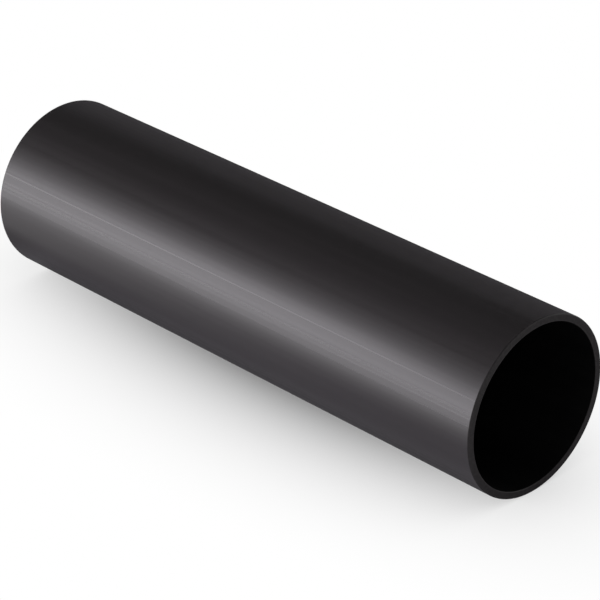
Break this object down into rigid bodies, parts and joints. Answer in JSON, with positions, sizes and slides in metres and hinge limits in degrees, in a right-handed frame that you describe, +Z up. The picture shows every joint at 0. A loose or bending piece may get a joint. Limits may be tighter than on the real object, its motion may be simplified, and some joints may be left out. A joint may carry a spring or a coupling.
{
  "type": "drain pipe",
  "caption": "Straight plain-ended black polyethylene drain pipe with a round bore and square-cut ends, lying on its side.",
  "frame": {"origin": "on the floor under the middle of the pipe's length, at the line that the pipe rests on", "axes": "+X along the pipe's axis, towards the end that faces the viewer; +Z up; +Y level across the pipe"},
  "size_m": [0.4, 0.11, 0.11],
  "materials": {
    "black_polyethylene": "satin"
  },
  "bodies": {
    "root": {"pipe": "black_polyethylene"}
  },
  "joints": []
}
